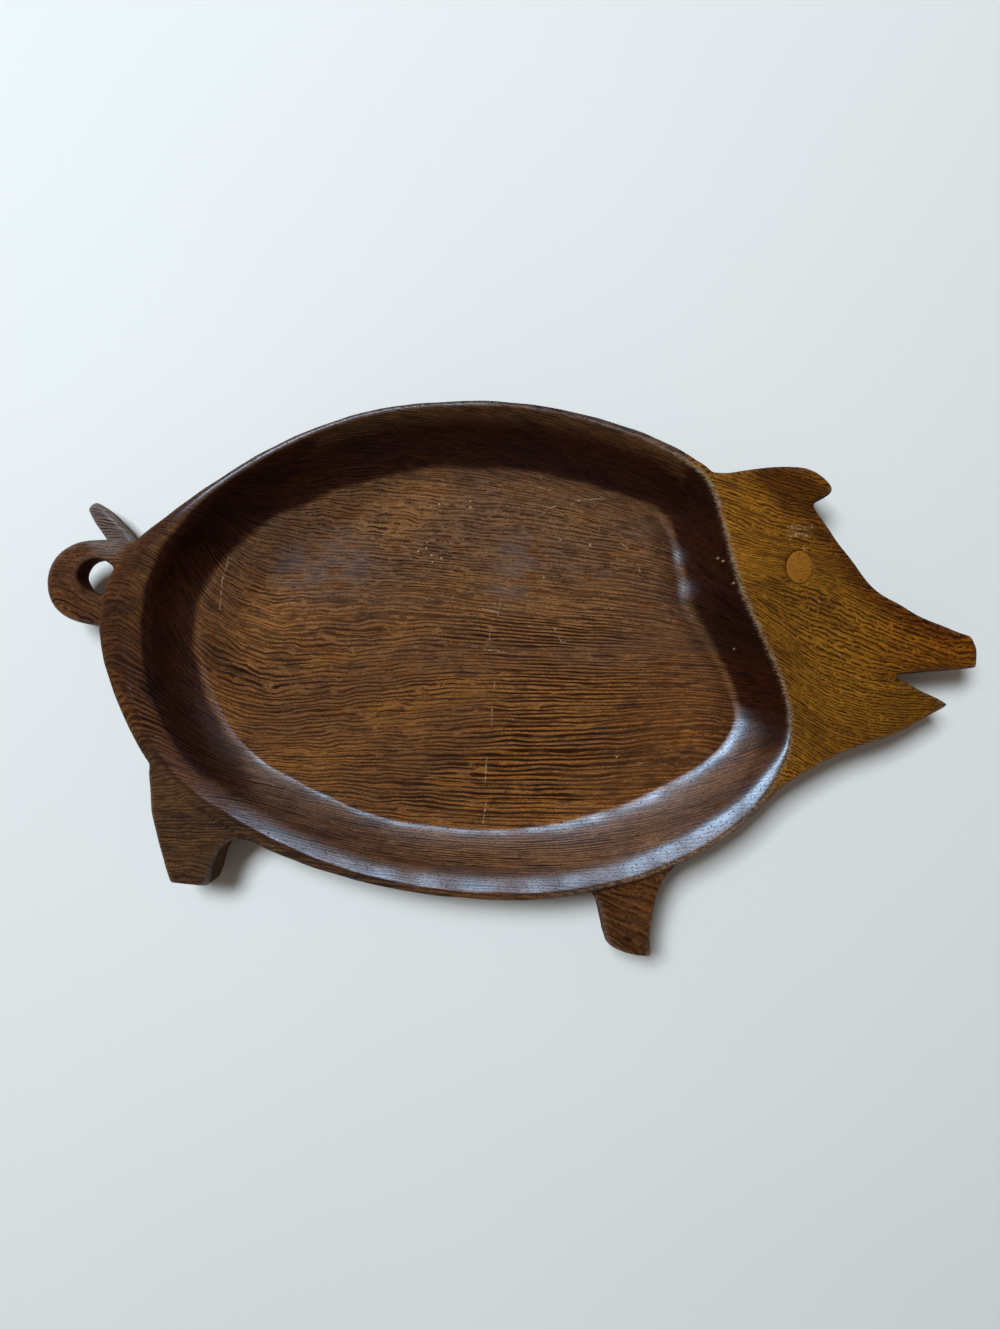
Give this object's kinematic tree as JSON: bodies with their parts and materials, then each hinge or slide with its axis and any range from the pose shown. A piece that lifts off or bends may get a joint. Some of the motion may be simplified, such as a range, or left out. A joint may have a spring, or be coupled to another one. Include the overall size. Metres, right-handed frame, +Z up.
{
  "type": "animal-shaped serving tray",
  "caption": "Carved hardwood serving tray in the shape of a pig seen from the side, with a dished body, flat head, stub legs, curled tail and inlaid eye.",
  "frame": {"origin": "on the table, under the middle of the tray's bounding box", "axes": "+X towards the snout, +Y towards the pig's back, +Z up"},
  "size_m": [0.4566, 0.2568, 0.0335],
  "materials": {
    "oiled_hardwood": "oiled, semi-gloss, dark streaked grain",
    "pale_hardwood": "oiled end grain, semi-gloss"
  },
  "bodies": {
    "root": {"tray_body": "oiled_hardwood", "eye_plug": "pale_hardwood"}
  },
  "joints": []
}
